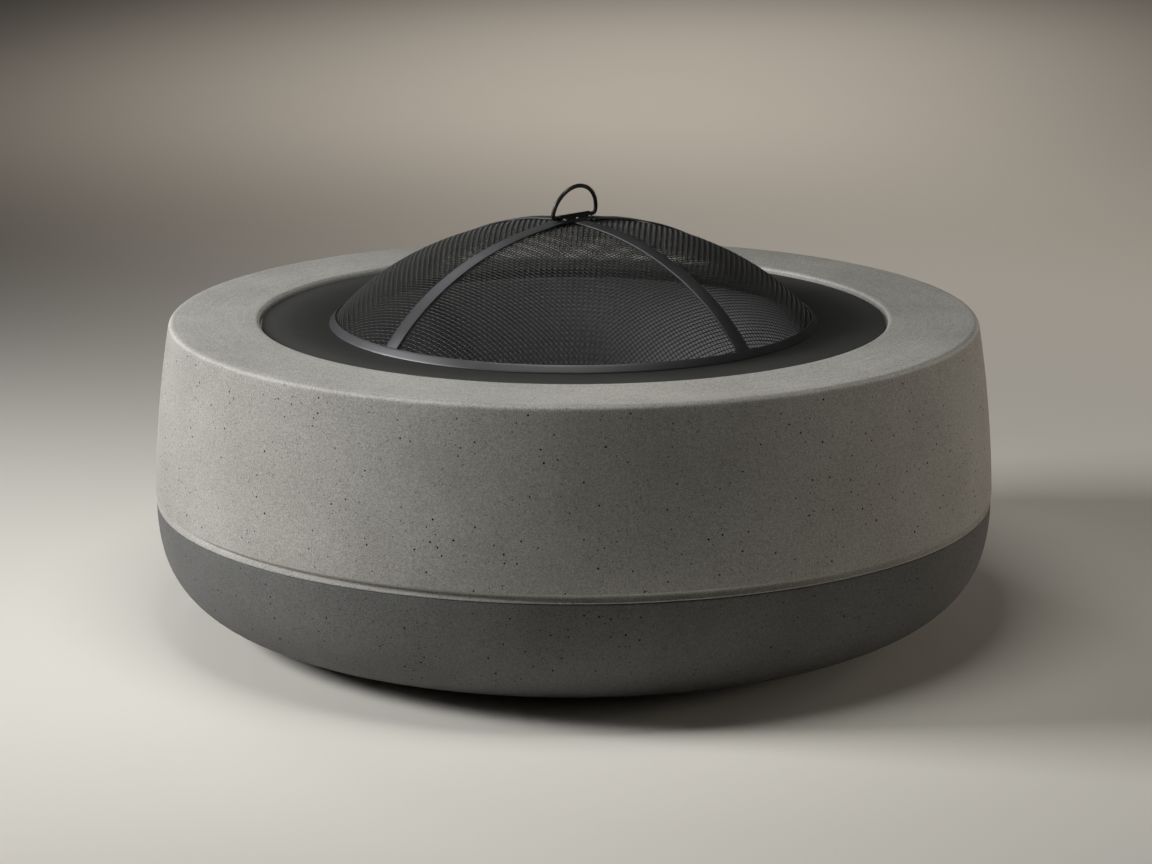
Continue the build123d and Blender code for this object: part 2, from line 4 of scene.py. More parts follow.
import bmesh
import bpy
import numpy as np
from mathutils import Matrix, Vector


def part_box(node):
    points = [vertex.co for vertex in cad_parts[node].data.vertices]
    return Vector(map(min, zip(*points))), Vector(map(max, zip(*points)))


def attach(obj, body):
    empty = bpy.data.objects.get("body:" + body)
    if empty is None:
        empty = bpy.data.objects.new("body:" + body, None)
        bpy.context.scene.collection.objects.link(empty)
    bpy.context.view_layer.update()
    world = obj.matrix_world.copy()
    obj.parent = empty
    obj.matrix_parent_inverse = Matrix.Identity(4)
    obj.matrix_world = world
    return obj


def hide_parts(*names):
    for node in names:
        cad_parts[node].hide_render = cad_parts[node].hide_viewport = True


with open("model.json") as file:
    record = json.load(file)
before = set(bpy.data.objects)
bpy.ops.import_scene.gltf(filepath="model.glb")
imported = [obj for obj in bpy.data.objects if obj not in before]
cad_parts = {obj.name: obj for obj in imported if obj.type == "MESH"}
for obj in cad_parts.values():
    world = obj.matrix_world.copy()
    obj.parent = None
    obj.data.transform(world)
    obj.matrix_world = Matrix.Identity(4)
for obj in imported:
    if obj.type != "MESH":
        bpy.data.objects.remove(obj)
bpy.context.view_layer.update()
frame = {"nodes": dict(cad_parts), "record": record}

nodes = frame["nodes"]
scene = bpy.context.scene
mm = 0.001
print("frame loaded:", len(nodes), "nodes")


# small tools for node trees

def plug(tree, value, socket):
    if isinstance(value, bpy.types.NodeSocket):
        tree.links.new(value, socket)
    else:
        socket.default_value = value


def addNode(tree, kind, sockets=None, **settings):
    node = tree.nodes.new(kind)
    for key, value in settings.items():
        setattr(node, key, value)
    for key, value in (sockets or {}).items():
        plug(tree, value, node.inputs[key])
    return node


def calc(tree, operation, *terms):
    return addNode(tree, "ShaderNodeMath", dict(enumerate(terms)), operation=operation).outputs[0]


def vectorCalc(tree, operation, *terms):
    node = addNode(tree, "ShaderNodeVectorMath", dict(enumerate(terms)), operation=operation)
    return node.outputs["Vector"]


def vectorLength(tree, vector):
    return addNode(tree, "ShaderNodeVectorMath", {0: vector}, operation="LENGTH").outputs["Value"]


def scaled(tree, vector, amount):
    sockets = {0: vector, "Scale": amount}
    return addNode(tree, "ShaderNodeVectorMath", sockets, operation="SCALE").outputs["Vector"]


def splitXYZ(tree, vector):
    return addNode(tree, "ShaderNodeSeparateXYZ", {"Vector": vector}).outputs


def joinXYZ(tree, **sockets):
    return addNode(tree, "ShaderNodeCombineXYZ", sockets).outputs[0]


def axisDistance(tree, spot):
    # how far a spot is from the middle axis
    squares = [calc(tree, "POWER", spot[axis], 2.0) for axis in "XY"]
    return calc(tree, "SQRT", calc(tree, "ADD", *squares))


def noise(tree, vector, scale, detail=2.0, rough=0.5):
    sockets = {"Vector": vector, "Scale": scale, "Detail": detail, "Roughness": rough}
    return addNode(tree, "ShaderNodeTexNoise", sockets).outputs["Fac"]


def spread(tree, value, low, high, toLow=0.0, toHigh=1.0):
    sockets = {"Value": value, "From Min": low, "From Max": high, "To Min": toLow, "To Max": toHigh}
    return addNode(tree, "ShaderNodeMapRange", sockets).outputs["Result"]


def vary(tree, texture, low=0.0, high=1.0):
    # a noise, which lies mostly between 0.3 and 0.7, spread from low to high
    return spread(tree, texture, 0.3, 0.7, low, high)


def blendColour(tree, factor, first, second, way="MIX"):
    node = addNode(tree, "ShaderNodeMix", data_type="RGBA", blend_type=way)
    for place, value in ((0, factor), (6, first), (7, second)):
        if isinstance(value, tuple) and len(value) == 3:
            value = (*value, 1.0)
        plug(tree, value, node.inputs[place])
    return node.outputs[2]


def shade(tree, colour, amount):
    # multiplies a colour by a grey amount
    grey = addNode(tree, "ShaderNodeCombineColor", {"Red": amount, "Green": amount, "Blue": amount})
    return blendColour(tree, 1.0, colour, grey.outputs[0], "MULTIPLY")


def startMaterial(name, roughness=None, metallic=0.0, specular=0.5):
    material = bpy.data.materials.new(name)
    material.use_nodes = True
    tree = material.node_tree
    shader = tree.nodes["Principled BSDF"]
    shader.inputs["Metallic"].default_value = metallic
    shader.inputs["Specular IOR Level"].default_value = specular
    if roughness is not None:
        shader.inputs["Roughness"].default_value = roughness
    place = addNode(tree, "ShaderNodeTexCoord").outputs["Object"]
    return material, tree, shader, place


def setSurface(tree, shader, colour, rough):
    tree.links.new(colour, shader.inputs["Base Color"])
    tree.links.new(rough, shader.inputs["Roughness"])


def bump(tree, shader, height, strength, distance):
    sockets = {"Height": height, "Strength": strength, "Distance": distance}
    tree.links.new(addNode(tree, "ShaderNodeBump", sockets).outputs["Normal"], shader.inputs["Normal"])


# finishes

def polar(tree, place, around, across):
    # a vector that follows the rings of a round piece, with no seam
    spot = splitXYZ(tree, place)
    flat = joinXYZ(tree, X=spot["X"], Y=spot["Y"])
    turn = scaled(tree, vectorCalc(tree, "NORMALIZE", flat), around)
    rise = joinXYZ(tree, Z=calc(tree, "MULTIPLY", vectorLength(tree, flat), across))
    return vectorCalc(tree, "ADD", turn, rise)


# how far up a face looks, as the height of its normal: the flat deck, then both ends of the painted highlight
# band on its rounded edge
deckUp, highlightFromUp, highlightToUp = (0.9, 0.99), (0.42, 0.6), (0.9, 0.75)
trowelAround, trowelAcross = 3.0, 260.0  # trowel marks are long round the deck and fine across it


def castConcrete(name, look):
    material, tree, shader, place = startMaterial(name, specular=look["gloss"])
    clouds = noise(tree, place, look["cloudScale"], 5.0, 0.6)
    patches = noise(tree, place, look["patchScale"], 3.0, 0.55)
    colour = blendColour(tree, spread(tree, clouds, 0.32, 0.68), look["deep"], look["pale"])
    tint = spread(tree, patches, 0.35, 0.7, 0.0, look["warmth"])
    colour = blendColour(tree, tint, colour, look["warm"])
    grain = noise(tree, place, look["grainScale"], 2.0, 0.6)
    colour = shade(tree, colour, vary(tree, grain, 1 - look["grain"], 1 + look["grain"]))
    specks = noise(tree, place, look["speckScale"], 2.0, 0.5)
    colour = shade(tree, colour, vary(tree, specks, 1 - look["speck"], 1 + look["speck"]))
    # trowel marks run round the flat deck
    up = splitXYZ(tree, addNode(tree, "ShaderNodeNewGeometry").outputs["Normal"])["Z"]
    flat = spread(tree, up, *deckUp)
    streaks = noise(tree, polar(tree, place, trowelAround, trowelAcross), 1.0, 4.0, 0.7)
    streaked = vary(tree, streaks, -look["streak"], look["streak"])
    colour = shade(tree, colour, calc(tree, "MULTIPLY_ADD", streaked, flat, 1.0))
    # painted highlight: a paler band along the middle of the deck's rounded edge
    edge = calc(tree, "MULTIPLY", spread(tree, up, *highlightFromUp), spread(tree, up, *highlightToUp))
    colour = shade(tree, colour, calc(tree, "MULTIPLY_ADD", edge, look["edgeHighlight"], 1.0))
    # dark dots for sand grains and for pores too fine for real pits: the grains' own colour, and painted shade
    # in the pores
    cells = addNode(tree, "ShaderNodeTexVoronoi", {"Vector": place, "Scale": look["poreScale"]}).outputs
    chance = addNode(tree, "ShaderNodeSeparateColor", {"Color": cells["Color"]}).outputs["Red"]
    size = spread(tree, chance, look["poreShare"], 1.0, 0.0, look["poreSize"])
    pore = calc(tree, "LESS_THAN", cells["Distance"], size)
    colour = shade(tree, colour, calc(tree, "MULTIPLY_ADD", pore, -look["poreShade"], 1.0))
    setSurface(tree, shader, colour, vary(tree, clouds, look["rough"] - 0.06, look["rough"] + 0.06))
    height = calc(tree, "MULTIPLY_ADD", streaks, flat, calc(tree, "SUBTRACT", grain, pore))
    bump(tree, shader, height, look["bumpStrength"], look["bumpDepth"])
    return material


lightConcrete = castConcrete("lightConcrete", {
    "deep": (0.322, 0.318, 0.301), "pale": (0.410, 0.406, 0.386), "warm": (0.378, 0.363, 0.331),
    "warmth": 0.3, "cloudScale": 7.0, "patchScale": 2.5, "grainScale": 620.0, "grain": 0.32,
    "speckScale": 240.0, "speck": 0.06, "streak": 0.09, "gloss": 0.3, "edgeHighlight": 0.3,
    "poreScale": 260.0, "poreShare": 0.72, "poreSize": 0.3, "poreShade": 0.45, "rough": 0.8,
    "bumpStrength": 0.35, "bumpDepth": 0.5 * mm,
})
darkConcrete = castConcrete("darkConcrete", {
    "deep": (0.108, 0.109, 0.109), "pale": (0.140, 0.142, 0.143), "warm": (0.129, 0.124, 0.113),
    "warmth": 0.25, "cloudScale": 8.0, "patchScale": 3.0, "grainScale": 620.0, "grain": 0.32,
    "speckScale": 240.0, "speck": 0.07, "streak": 0.03, "gloss": 0.3, "edgeHighlight": 0.0,
    "poreScale": 260.0, "poreShare": 0.75, "poreSize": 0.3, "poreShade": 0.5, "rough": 0.78,
    "bumpStrength": 0.35, "bumpDepth": 0.5 * mm,
})


# painted shade: the inside of each air-bubble pit is near black, for the shade that falls into it
def paintedPitShade(look):
    material, tree, shader, place = startMaterial("paintedPitShade", look["rough"], specular=look["gloss"])
    tone = vary(tree, noise(tree, place, look["toneScale"]))
    tree.links.new(blendColour(tree, tone, look["deep"], look["pale"]), shader.inputs["Base Color"])
    return material


pitShade = paintedPitShade({
    "deep": (0.014, 0.013, 0.012), "pale": (0.04, 0.037, 0.033), "toneScale": 900.0, "rough": 0.95,
    "gloss": 0.1})


def satinPaint(name, look):
    material, tree, shader, place = startMaterial(name, specular=look["gloss"])
    mottle = noise(tree, place, look["mottleScale"], 4.0, 0.6)
    peel = noise(tree, place, look["peelScale"], 2.0, 0.5)
    dust = noise(tree, place, look["peelScale"] * 0.6, 5.0, 0.7)
    colour = blendColour(tree, vary(tree, mottle), look["deep"], look["pale"])
    dusty = spread(tree, dust, 0.62, 0.8, 0.0, look["dust"])
    colour = blendColour(tree, dusty, colour, look["dustColour"])
    # painted shade of the hoop on the flange: the paint is darker towards the mouth of the bowl, where the
    # hoop stands
    if "hoopShade" in look:  # darker towards the mouth of the bowl
        reach = axisDistance(tree, splitXYZ(tree, place))
        shadeByHoop = spread(tree, reach, look["hoopShadeFrom"], look["hoopShadeTo"], 1 - look["hoopShade"], 1.0)
        colour = shade(tree, colour, shadeByHoop)
    setSurface(tree, shader, colour, vary(tree, mottle, look["rough"] - 0.04, look["rough"] + 0.05))
    shader.inputs["Specular Tint"].default_value = (*look.get("tint", (1.0, 1.0, 1.0)), 1)
    bump(tree, shader, peel, look["peel"], 0.3 * mm)
    return material


bowlPaint = satinPaint("bowlPaint", {
    "deep": (0.041, 0.041, 0.0405), "pale": (0.049, 0.049, 0.0485),
    "dust": 0.1, "dustColour": (0.06, 0.059, 0.057),
    "mottleScale": 9.0, "peelScale": 900.0, "peel": 0.12, "rough": 0.58, "gloss": 0.2,
    # painted shade by the hoop, darkest at the seat
    "hoopShade": 0.5, "hoopShadeFrom": 318 * mm, "hoopShadeTo": 376 * mm,
})
# painted light: a paler, bluer copy of the bowl's black paint, standing in for the light that falls into the
# bowl
bowlInsidePaintedLight = satinPaint("bowlInsidePaintedLight", {
    "deep": (0.146, 0.151, 0.167), "pale": (0.180, 0.185, 0.202),
    "dust": 0.2, "dustColour": (0.13, 0.128, 0.125),
    "mottleScale": 11.0, "peelScale": 700.0, "peel": 0.14, "rough": 0.55, "gloss": 0.4,
})
strapPaint = satinPaint("strapPaint", {
    "deep": (0.020, 0.020, 0.0218), "pale": (0.027, 0.027, 0.0292),
    "dust": 0.12, "dustColour": (0.08, 0.08, 0.084),
    "mottleScale": 16.0, "peelScale": 1100.0, "peel": 0.12, "rough": 0.47, "gloss": 1.0,
    "tint": (0.93, 0.94, 1.0),
})
wirePaint = satinPaint("wirePaint", {
    "deep": (0.022, 0.022, 0.0214), "pale": (0.034, 0.034, 0.0327),
    "dust": 0.25, "dustColour": (0.12, 0.12, 0.11),
    "mottleScale": 22.0, "peelScale": 1500.0, "peel": 0.1, "rough": 0.45, "gloss": 0.5,
})
handlePaint = satinPaint("handlePaint", {
    "deep": (0.008, 0.008, 0.008), "pale": (0.012, 0.012, 0.012),
    "dust": 0.1, "dustColour": (0.04, 0.04, 0.04),
    "mottleScale": 60.0, "peelScale": 1800.0, "peel": 0.12, "rough": 0.33, "gloss": 0.5,
})


def platedMetal(name, look):
    material, tree, shader, place = startMaterial(name, metallic=1.0)
    cells = addNode(tree, "ShaderNodeTexVoronoi", {"Vector": place, "Scale": look["spangle"]})
    tone = addNode(tree, "ShaderNodeSeparateColor", {"Color": cells.outputs["Color"]}).outputs["Green"]
    film = noise(tree, place, look["film"], 4.0, 0.6)
    tone = calc(tree, "MULTIPLY_ADD", film, 0.6, calc(tree, "MULTIPLY", tone, 0.4))
    colour = blendColour(tree, spread(tree, tone, 0.2, 0.8), look["deep"], look["pale"])
    setSurface(tree, shader, colour, vary(tree, film, look["rough"] - 0.08, look["rough"] + 0.1))
    bump(tree, shader, film, 0.1, 0.2 * mm)
    return material


zincPlate = platedMetal("zincPlate", {
    "deep": (0.42, 0.43, 0.44), "pale": (0.58, 0.58, 0.57), "spangle": 160.0, "film": 60.0, "rough": 0.42})
turnedBrass = platedMetal("turnedBrass", {
    "deep": (0.50, 0.36, 0.15), "pale": (0.66, 0.50, 0.24), "spangle": 500.0, "film": 220.0, "rough": 0.36})
brightRivet = platedMetal("brightRivet", {
    "deep": (0.55, 0.55, 0.55), "pale": (0.78, 0.78, 0.77), "spangle": 900.0, "film": 500.0, "rough": 0.28})


def roughSolid(name, look):
    material, tree, shader, place = startMaterial(name, specular=look["gloss"])
    broad = noise(tree, place, look["broad"], 4.0, 0.6)
    fine = noise(tree, place, look["fine"], 3.0, 0.65)
    colour = blendColour(tree, spread(tree, broad, 0.35, 0.65), look["deep"], look["pale"])
    colour = shade(tree, colour, vary(tree, fine, 0.8, 1.2))
    setSurface(tree, shader, colour, vary(tree, fine, look["rough"] - 0.08, look["rough"] + 0.08))
    bump(tree, shader, fine, 0.4, look["depth"])
    return material


sealRubber = roughSolid("sealRubber", {
    "deep": (0.018, 0.018, 0.018), "pale": (0.03, 0.03, 0.031), "broad": 30.0, "fine": 700.0, "rough": 0.75,
    "gloss": 0.35, "depth": 0.3 * mm})
fibreFelt = roughSolid("fibreFelt", {
    "deep": (0.50, 0.47, 0.41), "pale": (0.66, 0.64, 0.58), "broad": 45.0, "fine": 420.0, "rough": 0.9,
    "gloss": 0.15, "depth": 0.8 * mm})
millScale = roughSolid("millScale", {
    "deep": (0.028, 0.026, 0.025), "pale": (0.06, 0.05, 0.043), "broad": 26.0, "fine": 380.0, "rough": 0.62,
    "gloss": 0.4, "depth": 0.5 * mm})
print("finishes ready")

slotFinish = {
    "light_concrete": lightConcrete, "dark_concrete": darkConcrete, "seal_rubber": sealRubber,
    "fibre_gasket": fibreFelt, "zinc_steel": zincPlate, "insert_brass": turnedBrass, "black_bowl": bowlPaint,
    "raw_iron": millScale, "black_strap": strapPaint, "black_wire": wirePaint, "bright_rivet": brightRivet,
}
slotOf = {entry["node"]: entry["material_slot"] for entry in frame["record"]["subparts"]}
for nodeName, part in nodes.items():
    part.data.materials.clear()
    part.data.materials.append(slotFinish[slotOf[nodeName]])


# meshes

def addObject(name, mesh, body, node, finish=None):
    piece = bpy.data.objects.new(name, mesh)
    scene.collection.objects.link(piece)
    if finish:
        mesh.materials.append(finish)
    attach(piece, body)
    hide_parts(node)


def smooth(mesh, sharpAngle=35.0):
    mesh.shade_smooth()
    mesh.set_sharp_from_angle(angle=radians(sharpAngle))


def meshFrom(name, points, faces):
    mesh = bpy.data.meshes.new(name)
    mesh.from_pydata([tuple(point) for point in points], [], faces)
    work = bmesh.new()
    work.from_mesh(mesh)
    bmesh.ops.recalc_face_normals(work, faces=work.faces)
    work.to_mesh(mesh)
    work.free()
    smooth(mesh)
    return mesh


def ringFaces(rings, count, closed=True):
    # four-sided faces between rings of count points; closed joins the last ring to the first
    faces = []
    for ring in range(rings if closed else rings - 1):
        here, ahead = ring * count, (ring + 1) % rings * count
        for point in range(count):
            after = (point + 1) % count
            faces.append((here + point, ahead + point, ahead + after, here + after))
    return faces


def lathe(name, outline, segments):
    # a closed outline of (radius, height) turned about the middle axis
    ring = np.array(outline)
    turns = np.arange(segments) * 2 * pi / segments
    points = np.empty((segments, len(ring), 3))
    points[:, :, 0] = np.cos(turns)[:, None] * ring[None, :, 0]
    points[:, :, 1] = np.sin(turns)[:, None] * ring[None, :, 0]
    points[:, :, 2] = ring[None, :, 1]
    return meshFrom(name, points.reshape(-1, 3), ringFaces(segments, len(ring)))


def arcPoints(centre, radius, first, sweep, steps):
    # points on an arc, both ends included; angles in radians
    turns = [first + sweep * step / steps for step in range(steps + 1)]
    return [np.array(centre) + radius * np.array((cos(turn), sin(turn))) for turn in turns]


straightDown, straightIn = -90.0, 180.0  # headings in an outline; in is towards the middle axis


def arcFrom(start, heading, radius, turn, steps):
    # an arc from start; heading and turn in degrees, a positive turn goes to the left
    heading, turn = radians(heading), radians(turn)
    side = 1 if turn > 0 else -1
    centre = np.array(start) + radius * side * np.array((-sin(heading), cos(heading)))
    return arcPoints(centre, radius, atan2(start[1] - centre[1], start[0] - centre[0]), turn, steps)


def steppedLine(start, end, step):
    # points from start to end, without the end, about a step apart
    start, end = np.array(start), np.array(end)
    count = max(1, round(np.linalg.norm(end - start) / step))
    return [start + (end - start) * place / count for place in range(count)]


def sharp(points):
    # corners for roundCorners that stay as they are
    return [(*point, 0) for point in points]


def roundCorners(corners, steps=6):
    # corners are (radius, height, corner radius); a corner radius of 0 keeps the point
    outline = []
    for place, (x, z, bend) in enumerate(corners):
        here = np.array((x, z))
        if not bend:
            outline.append(here)
            continue
        before = np.array(corners[place - 1][:2]) - here
        after = np.array(corners[(place + 1) % len(corners)][:2]) - here
        before /= np.linalg.norm(before)
        after /= np.linalg.norm(after)
        half = np.arccos(np.clip(before @ after, -1, 1)) / 2
        middle = before + after
        centre = here + middle / np.linalg.norm(middle) * bend / sin(half)
        start = here + before * bend / np.tan(half) - centre
        end = here + after * bend / np.tan(half) - centre
        first = atan2(start[1], start[0])
        sweep = (atan2(end[1], end[0]) - first + pi) % (2 * pi) - pi
        outline += arcPoints(centre, bend, first, sweep, steps)
    return outline


# the two castings

upperSizes = {
    "waist": 533 * mm, "wallLean": 21.5 * mm, "wallCurve": 1554 * mm, "deckWidth": 114 * mm,
    "deckEdge": 9 * mm, "holeEdge": 6 * mm,
    "grooveTop": 168 * mm, "grooveDepth": 8 * mm, "grooveHeight": 9.5 * mm, "grooveEdge": 1.6 * mm,
    "lipSetback": 1.2 * mm, "lipEdge": 0.5 * mm, "lipFoot": 0.3 * mm,
    "rebateRadius": 509.5 * mm, "rebateTop": 168 * mm, "innerRadius": 498 * mm, "tieLand": 206.5 * mm,
    "haunchWidth": 28 * mm, "haunchEdge": 30 * mm, "slabBottom": 339.5 * mm,
    "ledgeHeight": 375.5 * mm, "ledgeRadius": 345.5 * mm, "ledgeEdge": 1.5 * mm,
    "rowStep": 8 * mm, "segments": 420,
}


def upperOutline(sizes):
    low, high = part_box("upper_surround")
    deck, waist = high.z, sizes["waist"]
    deckRadius = waist - sizes["wallLean"]
    holeRadius = deckRadius - sizes["deckWidth"]
    grooveTop, grooveHeight = sizes["grooveTop"], sizes["grooveHeight"]
    # the bulged wall, from the deck down to the waist
    top, foot = np.array((deckRadius, deck)), np.array((waist, grooveTop))
    chord = foot - top
    length = np.linalg.norm(chord)
    out = np.array((-chord[1], chord[0])) / length
    centre = (top + foot) / 2 - out * sqrt(sizes["wallCurve"] ** 2 - length ** 2 / 4)
    first = atan2(*(top - centre)[::-1])
    sweep = atan2(*(foot - centre)[::-1]) - first
    wall = arcPoints(centre, sizes["wallCurve"], first, sweep, round(length / sizes["rowStep"]))
    lip, rebate, inner = waist - sizes["lipSetback"], sizes["rebateRadius"], sizes["innerRadius"]
    slab, ledge, ledgeHeight = sizes["slabBottom"], sizes["ledgeRadius"], sizes["ledgeHeight"]
    deckStart = (holeRadius + 2 * sizes["holeEdge"], deck)
    deckEnd = (deckRadius - 2 * sizes["deckEdge"], deck)
    return roundCorners([
        (*top, sizes["deckEdge"]), *sharp(wall[2:-1]), (*foot, sizes["grooveEdge"]),
        (waist - sizes["grooveDepth"], grooveTop - grooveHeight / 2, sizes["grooveEdge"]),
        (lip, grooveTop - grooveHeight, sizes["lipEdge"]), (lip, low.z, sizes["lipFoot"]),
        (rebate, low.z, 0), (rebate, sizes["rebateTop"], 0), (inner, sizes["rebateTop"], 0),
        (inner, sizes["tieLand"], 0), (inner - sizes["haunchWidth"], slab, sizes["haunchEdge"]),
        (ledge, slab, sizes["ledgeEdge"]), (ledge, ledgeHeight, sizes["ledgeEdge"]),
        (holeRadius, ledgeHeight, 0), (holeRadius, deck, sizes["holeEdge"]),
        *sharp(steppedLine(deckStart, deckEnd, sizes["rowStep"])),
    ])


baseSizes = {
    "radius": 532 * mm, "joint": 156.5 * mm, "rimEdge": 2 * mm, "standoff": 6 * mm, "wall": 34 * mm,
    "drain": 14.05 * mm, "sweepRadius": 230 * mm, "sweepAngle": 13.0, "sideRadius": 112 * mm,
    "sideAngle": 60.0, "insideRadius": 52 * mm, "insideAngle": 45.0, "tieLand": 106.5 * mm,
    "tongueTop": 166.5 * mm, "tongueRadius": 508 * mm, "tongueEdge": 1 * mm,
    "sweepSteps": 8, "sideSteps": 16, "underSteps": 12, "insideSteps": 6, "floorSteps": 8, "segments": 420,
}


def turnFlat(path, angle, level, steps):
    # the arc that goes on from a path, at an angle off plumb, until it lies flat at a level
    radius = (path[-1][1] - level) / (1 - sin(radians(angle)))
    return arcFrom(path[-1], straightDown - angle, radius, angle - 90, steps)[1:]


def baseOutline(sizes):
    radius, joint, standoff = sizes["radius"], sizes["joint"], sizes["standoff"]
    sweep, side, turnIn = sizes["sweepAngle"], sizes["sideAngle"], sizes["insideAngle"]
    rim = (radius, joint - sizes["rimEdge"])
    outside = arcFrom(rim, straightDown, sizes["sweepRadius"], -sweep, sizes["sweepSteps"])
    outside += arcFrom(outside[-1], straightDown - sweep, sizes["sideRadius"], sweep - side,
                       sizes["sideSteps"])[1:]
    outside += turnFlat(outside, side, standoff, sizes["underSteps"])
    floor, inner = standoff + sizes["wall"], radius - sizes["wall"]
    land = (inner, sizes["tieLand"])
    inside = arcFrom(land, straightDown, sizes["insideRadius"], -turnIn, sizes["insideSteps"])
    inside += turnFlat(inside, turnIn, floor, sizes["floorSteps"])
    tongue, tongueTop, tongueEdge = sizes["tongueRadius"], sizes["tongueTop"], sizes["tongueEdge"]
    return roundCorners([
        (radius, joint, sizes["rimEdge"]), *sharp(outside[1:]), (sizes["drain"], standoff, 0),
        (sizes["drain"], floor, 0), *sharp(reversed(inside)), (inner, tongueTop, tongueEdge),
        (tongue, tongueTop, tongueEdge), (tongue, joint, 0),
    ])


# node trees that build meshes

def startTree(name, inputs):
    # inputs are the names of the tree's sockets, by their kind
    tree = bpy.data.node_groups.new(name, "GeometryNodeTree")
    for kind, labels in inputs.items():
        for label in labels:
            tree.interface.new_socket(label, in_out="INPUT", socket_type="NodeSocket" + kind)
    tree.interface.new_socket("Geometry", in_out="OUTPUT", socket_type="NodeSocketGeometry")
    return tree, addNode(tree, "NodeGroupInput").outputs


def runTree(name, tree, settings, mesh=None):
    # builds a tree's result once and returns it as a plain mesh
    host = bpy.data.objects.new(name, mesh or bpy.data.meshes.new(name))
    scene.collection.objects.link(host)
    modifier = host.modifiers.new("build", "NODES")
    modifier.node_group = tree
    for item in tree.interface.items_tree:
        if item.in_out == "INPUT" and item.name in settings:
            modifier[item.identifier] = settings[item.name]
    view = bpy.context.evaluated_depsgraph_get()
    result = bpy.data.meshes.new_from_object(host.evaluated_get(view))
    bpy.data.objects.remove(host)
    return result


# air-bubble pits, cut into the castings

pitShape = {"sink": 0.62, "patchScale": 9.0, "patchLow": 0.32, "patchHigh": 0.68, "leastShare": 0.45,
            "subdivisions": 2}
upperPits = {"Density": 2300.0, "Spacing": 7 * mm, "Smallest": 0.75 * mm, "Largest": 1.75 * mm, "Skew": 1.6,
             "Low": 172 * mm, "High": 376 * mm, "Clear Radius": 505 * mm, "Seed": 7}
basePits = {"Density": 2100.0, "Spacing": 7 * mm, "Smallest": 0.75 * mm, "Largest": 1.75 * mm, "Skew": 1.5,
            "Low": 32 * mm, "High": 152 * mm, "Clear Radius": 440 * mm, "Seed": 11}


def pitTree(shape):
    tree, given = startTree("castingPits", {
        "Geometry": ["Geometry"], "Int": ["Seed"], "Material": ["Pit Shade"],
        "Float": ["Density", "Spacing", "Smallest", "Largest", "Low", "High", "Clear Radius", "Skew"]})
    # only between two heights and outside a radius, thicker in some patches than in others
    spot = splitXYZ(tree, addNode(tree, "GeometryNodeInputPosition").outputs[0])
    wanted = calc(tree, "MULTIPLY", calc(tree, "GREATER_THAN", spot["Z"], given["Low"]),
                  calc(tree, "LESS_THAN", spot["Z"], given["High"]))
    outer = calc(tree, "GREATER_THAN", axisDistance(tree, spot), given["Clear Radius"])
    patchy = addNode(tree, "ShaderNodeTexNoise", {"Scale": shape["patchScale"], "Detail": 2.0}).outputs["Fac"]
    patchy = spread(tree, patchy, shape["patchLow"], shape["patchHigh"], shape["leastShare"], 1.0)
    share = calc(tree, "MULTIPLY", calc(tree, "MULTIPLY", wanted, outer), patchy)
    scatter = addNode(tree, "GeometryNodeDistributePointsOnFaces", {
        "Mesh": given["Geometry"], "Distance Min": given["Spacing"], "Density Max": given["Density"],
        "Density Factor": share, "Seed": given["Seed"]}, distribute_method="POISSON").outputs
    # more small pits than large ones
    chance = addNode(tree, "FunctionNodeRandomValue", {"Seed": given["Seed"]}, data_type="FLOAT").outputs[1]
    skewed = calc(tree, "POWER", chance, given["Skew"])
    extra = calc(tree, "SUBTRACT", given["Largest"], given["Smallest"])
    size = calc(tree, "MULTIPLY_ADD", skewed, extra, given["Smallest"])
    sized = addNode(tree, "GeometryNodeStoreNamedAttribute", {
        "Geometry": scatter["Points"], "Name": "pitSize", "Value": size}, data_type="FLOAT", domain="POINT")
    stored = addNode(tree, "GeometryNodeInputNamedAttribute", {"Name": "pitSize"}, data_type="FLOAT")
    pitSize = stored.outputs["Attribute"]
    sink = scaled(tree, scatter["Normal"], calc(tree, "MULTIPLY", pitSize, -shape["sink"]))
    sunk = addNode(tree, "GeometryNodeSetPosition", {"Geometry": sized.outputs[0], "Offset": sink})
    bubble = addNode(tree, "GeometryNodeMeshIcoSphere", {"Radius": 1.0, "Subdivisions": shape["subdivisions"]})
    # painted shade: each bubble carries the near-black pit material into the cut
    dark = addNode(tree, "GeometryNodeSetMaterial", {
        "Geometry": bubble.outputs["Mesh"], "Material": given["Pit Shade"]})
    bubbles = addNode(tree, "GeometryNodeInstanceOnPoints", {
        "Points": sunk.outputs[0], "Instance": dark.outputs[0], "Rotation": scatter["Rotation"],
        "Scale": pitSize})
    solid = addNode(tree, "GeometryNodeRealizeInstances", {"Geometry": bubbles.outputs[0]})
    cut = addNode(tree, "GeometryNodeMeshBoolean", {"Mesh 1": given["Geometry"], "Mesh 2": solid.outputs[0]},
                  operation="DIFFERENCE", solver="MANIFOLD")
    tree.links.new(cut.outputs["Mesh"], addNode(tree, "NodeGroupOutput").inputs[0])
    return tree


def pittedCasting(name, node, plain, finish, pits):
    plain.materials.append(finish)
    mesh = runTree(name, castingPits, {**pits, "Pit Shade": pitShade}, plain)
    smooth(mesh, sharpAngle=30.0)
    addObject(name, mesh, "surround", node)
    print(name, len(mesh.polygons), "faces", [material.name for material in mesh.materials])


castingPits = pitTree(pitShape)
upperPlain = lathe("upperCastingPlain", upperOutline(upperSizes), upperSizes["segments"])
pittedCasting("upperCasting", "upper_surround", upperPlain, lightConcrete, upperPits)
basePlain = lathe("baseCastingPlain", baseOutline(baseSizes), baseSizes["segments"])
pittedCasting("baseCasting", "base_shell", basePlain, darkConcrete, basePits)


# the steel bowl

